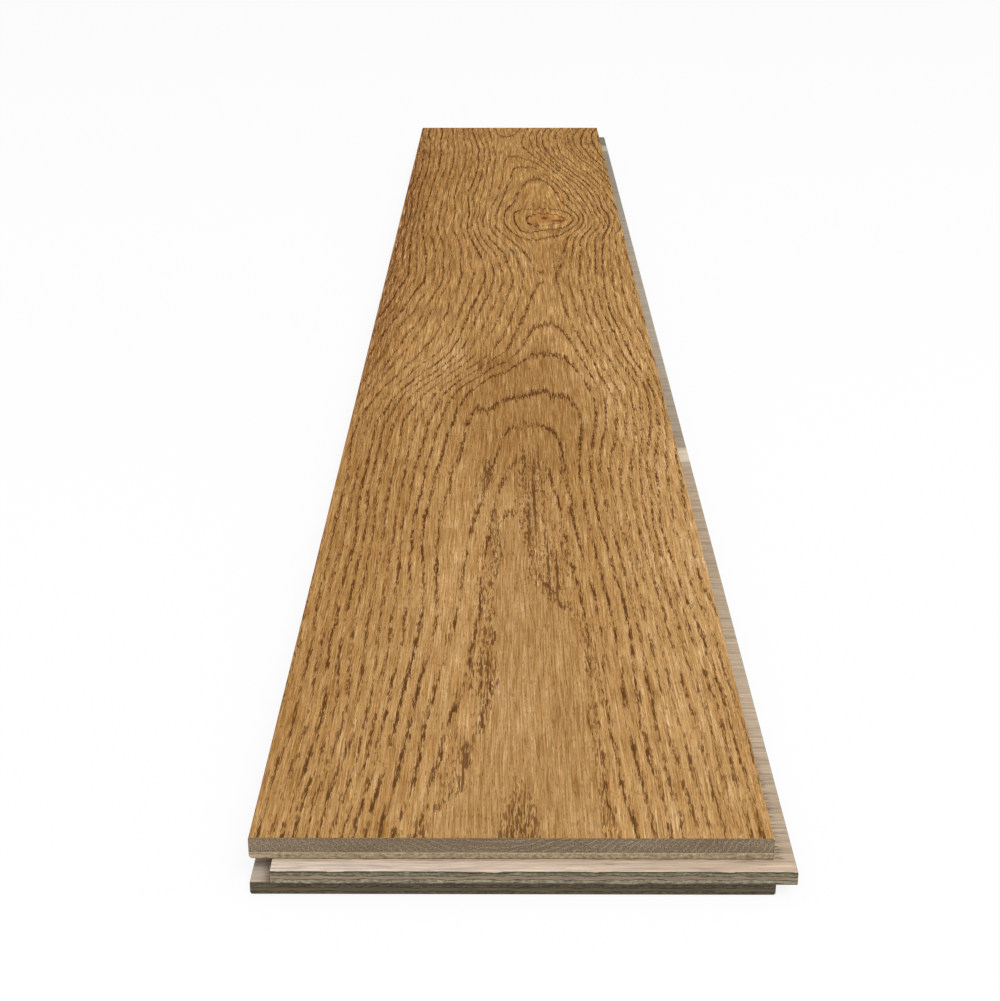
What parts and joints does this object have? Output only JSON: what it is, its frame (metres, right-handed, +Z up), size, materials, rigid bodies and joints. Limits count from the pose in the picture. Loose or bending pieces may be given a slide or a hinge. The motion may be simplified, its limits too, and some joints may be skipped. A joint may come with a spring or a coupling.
{
  "type": "engineered floorboard",
  "caption": "Engineered oak floorboard: thick oak face on a plywood core, with a tongue along the right side and near end and a matching groove along the left side and far end.",
  "frame": {"origin": "on the underside, below the centre of the face, so boards laid side by side step by the face width", "axes": "+Z up out of the walking face, +Y along the board from the tongued end to the grooved end, +X towards the tongued side"},
  "size_m": [0.1978, 1.4078, 0.02],
  "materials": {
    "oak": "brushed and oiled, satin",
    "ply_long_grain": "bare, machined",
    "ply_cross_grain": "bare, machined"
  },
  "bodies": {
    "root": {"oak_wear_layer": "oak", "core_ply_1": "ply_long_grain", "core_ply_2": "ply_cross_grain", "core_ply_3": "ply_long_grain", "core_ply_4": "ply_cross_grain", "core_ply_5": "ply_long_grain", "core_ply_6": "ply_cross_grain", "core_ply_7": "ply_long_grain", "core_ply_8": "ply_cross_grain", "core_ply_9": "ply_long_grain"}
  },
  "joints": []
}
